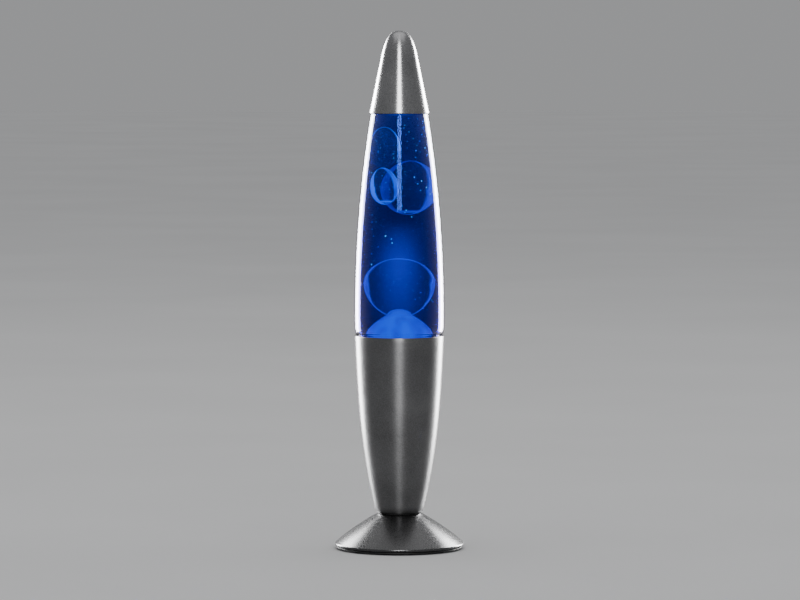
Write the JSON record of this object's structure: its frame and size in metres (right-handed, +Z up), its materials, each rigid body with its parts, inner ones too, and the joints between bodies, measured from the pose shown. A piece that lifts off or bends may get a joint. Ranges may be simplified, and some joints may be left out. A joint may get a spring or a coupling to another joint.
{
  "type": "lava lamp",
  "caption": "Rocket-shaped liquid motion lamp: spun aluminium foot, body and cap, glass bottle of dyed liquid with wax, lampholder and reflector bulb inside.",
  "frame": {"origin": "middle of the resting plane under the foot", "axes": "+Z up along the lamp's axis of turning, +Y towards the rear, where the cord inlet is, +X to the right seen from the front"},
  "size_m": [0.0848, 0.0848, 0.34],
  "materials": {
    "spun_aluminium": "satin spun, faint turning lines",
    "zinc_steel": "bright zinc plated",
    "brass": "plain",
    "tungsten": "dull wire",
    "clear_glass": "polished",
    "bulb_glass": "frosted face and silvered reflector",
    "blue_liquid": "clear deep blue dyed water",
    "blue_wax": "soft glowing wax",
    "black_plastic": "moulded, fine grain",
    "white_liner": "soft sealing compound",
    "rubber": "matte"
  },
  "bodies": {
    "base": {"foot_shell": "spun_aluminium", "base_plate": "black_plastic", "pad_1": "rubber", "pad_2": "rubber", "pad_3": "rubber", "pad_4": "rubber", "cord_bush": "black_plastic", "neck_washer": "black_plastic", "body_shell": "spun_aluminium", "holder_cup": "black_plastic", "holder_sleeve": "black_plastic", "clamp_ring": "black_plastic", "stem_tube": "zinc_steel", "stem_locknut": "zinc_steel", "base_washer": "zinc_steel", "base_nut": "zinc_steel", "socket_shell": "brass", "socket_tongue": "brass", "terminal_live": "brass", "terminal_neutral": "brass", "terminal_screw_live": "zinc_steel", "terminal_screw_neutral": "zinc_steel"},
    "bottle": {"glass_bottle": "clear_glass", "crown_liner": "white_liner", "crown_cap": "zinc_steel", "wax_mound": "blue_wax", "wire_coil": "zinc_steel", "liquid": "blue_liquid"},
    "cap": {"top_cap": "spun_aluminium"},
    "blob_low": {"wax_blob_low": "blue_wax"},
    "blob_right": {"wax_blob_right": "blue_wax"},
    "blob_left": {"wax_blob_left": "blue_wax"},
    "blob_top": {"wax_blob_top": "blue_wax"},
    "bulb_foot": {"bulb_contact": "zinc_steel", "bulb_insulator": "black_plastic"},
    "bulb": {"bulb_screw_shell": "zinc_steel", "bulb_envelope": "bulb_glass", "bulb_stem": "clear_glass", "bulb_lead_left": "zinc_steel", "bulb_lead_right": "zinc_steel", "bulb_filament": "tungsten"}
  },
  "joints": [
    {"name": "bottle_lift", "type": "slide", "parent": "base", "child": "bottle", "axis": [0, 0, 1], "range_m": [0, 0.06]},
    {"name": "cap_lift", "type": "slide", "parent": "bottle", "child": "cap", "axis": [0, 0, 1], "range_m": [0, 0.06]},
    {"name": "wax_low_rise", "type": "slide", "parent": "bottle", "child": "blob_low", "axis": [0, 0, 1], "range_m": [0, 0.014]},
    {"name": "wax_right_rise", "type": "slide", "parent": "bottle", "child": "blob_right", "axis": [0, 0, 1], "range_m": [-0.008, 0.005]},
    {"name": "wax_left_sink", "type": "slide", "parent": "bottle", "child": "blob_left", "axis": [0, 0, 1], "range_m": [-0.008, 0]},
    {"name": "wax_top_rise", "type": "slide", "parent": "bottle", "child": "blob_top", "axis": [0, 0, 1], "range_m": [0, 0.005]},
    {"name": "bulb_rise", "type": "slide", "parent": "base", "child": "bulb_foot", "axis": [0, 0, 1], "range_m": [0, 0.0127]},
    {"name": "bulb_turn", "type": "hinge", "parent": "bulb_foot", "child": "bulb", "pos_m": [0, 0, 0.06], "axis": [0, 0, 1], "range_deg": [0, 1620]}
  ],
  "couplings": [
    {"joint": "bulb_rise", "follows": "bulb_turn", "m_per_rad": 0.000449}
  ]
}
